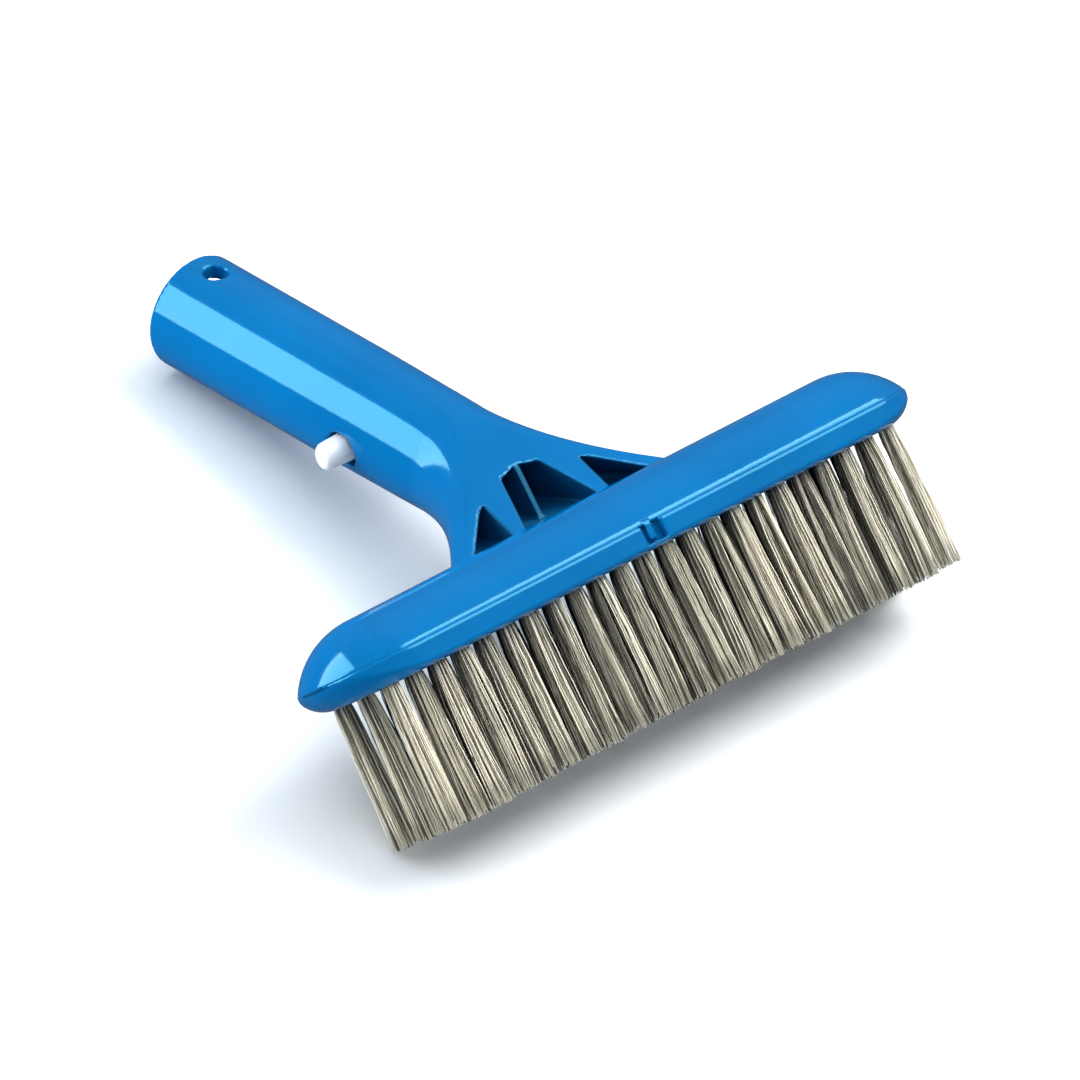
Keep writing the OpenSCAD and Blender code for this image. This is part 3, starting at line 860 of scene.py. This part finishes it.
# The strip lamp stands beside the handle, a little above it as seen along the handle. Its reflection and
# its diffuse light come from two lamps in one place, so that each has its own strength. In the same way
# a lamp seen only in reflections lies over the top softbox, for the bright line along the ledge.
STRIP_RISE = math.radians(33)
STRIP_ALONG, STRIP_ASIDE = 0.618, 0.786
STRIP_AWAY, STRIP_SIZE, STRIP_POWER = 1.1, (0.8, 0.86), 18
TOP_WAY, TOP_AWAY = (0.584, -0.176, 0.792), 1.2
TOP_SIZE, TOP_POWER = (0.8, 0.78), 11.5
LEDGE_SIZE, LEDGE_POWER = (0.5, 0.95), 15
CEILING_AWAY, CEILING_SIZE, CEILING_POWER = 2.2, (3.2, 3.2), 51
COOL, COOLER = (0.9, 0.96, 1.0), (0.86, 0.94, 1.0)

middle = (cad_low + cad_high) / 2
sideways, upwards = Vector((1, 0, 0)), Vector((0, 0, 1))
strip_side = -sideways * math.cos(STRIP_RISE) - under * math.sin(STRIP_RISE)
strip_way = along * STRIP_ALONG + strip_side * STRIP_ASIDE
strip_gloss = area_light("strip_gloss", strip_way, STRIP_AWAY, STRIP_SIZE, STRIP_POWER, middle, along)
strip_gloss.visible_diffuse = False
strip_wash = area_light("strip_wash", strip_way, STRIP_AWAY, STRIP_SIZE, STRIP_POWER, middle, along, COOL)
strip_wash.visible_glossy = False
area_light("top_softbox", TOP_WAY, TOP_AWAY, TOP_SIZE, TOP_POWER, middle, sideways)
ledge_gloss = area_light("ledge_gloss", TOP_WAY, TOP_AWAY, LEDGE_SIZE, LEDGE_POWER, middle, sideways)
ledge_gloss.visible_diffuse = False
ceiling_fill = area_light("ceiling_fill", upwards, CEILING_AWAY, CEILING_SIZE, CEILING_POWER, middle,
                          sideways, COOLER)
ceiling_fill.visible_glossy = False

# The surroundings get brighter towards the top.
world = bpy.data.worlds.new("studio")
world.use_nodes = True
tree = world.node_tree
sky = add_node(tree, "ShaderNodeTexCoord").outputs["Generated"]
split = add_node(tree, "ShaderNodeSeparateXYZ")
tree.links.new(sky, split.inputs[0])
shade = ramp(tree, split.outputs["Z"], (0.10, 0.115, 0.13), (0.40, 0.42, 0.44), (0.0, 0.6))
tree.links.new(shade, tree.nodes["Background"].inputs["Color"])
bpy.context.scene.world = world
bpy.context.scene.view_settings.view_transform = "Standard"

# --------------------------------------------------------------------- camera
AZIMUTH, ELEVATION, ROLL = math.radians(-48.98), math.radians(39.43), math.radians(8.88)
DISTANCE = 3.0
FRAME_WIDTH = 0.2529
AIM_RIGHT, AIM_UP = 0.0235, 0.0029

back_way = Vector((math.sin(AZIMUTH) * math.cos(ELEVATION), -math.cos(AZIMUTH) * math.cos(ELEVATION),
                   math.sin(ELEVATION)))
level = Vector((math.cos(AZIMUTH), math.sin(AZIMUTH), 0))
raised = back_way.cross(level)
right = level * math.cos(ROLL) + raised * math.sin(ROLL)
up = raised * math.cos(ROLL) - level * math.sin(ROLL)
camera = bpy.data.objects.new("camera", bpy.data.cameras.new("camera"))
camera.data.sensor_width = 36.0
camera.data.lens = camera.data.sensor_width * DISTANCE / FRAME_WIDTH
camera.data.clip_start, camera.data.clip_end = 0.1, 50.0
place = right * AIM_RIGHT + up * AIM_UP + back_way * DISTANCE
turn = Matrix((right, up, back_way)).transposed().to_4x4()
camera.matrix_world = Matrix.Translation(place) @ turn
bpy.context.scene.collection.objects.link(camera)
bpy.context.scene.camera = camera
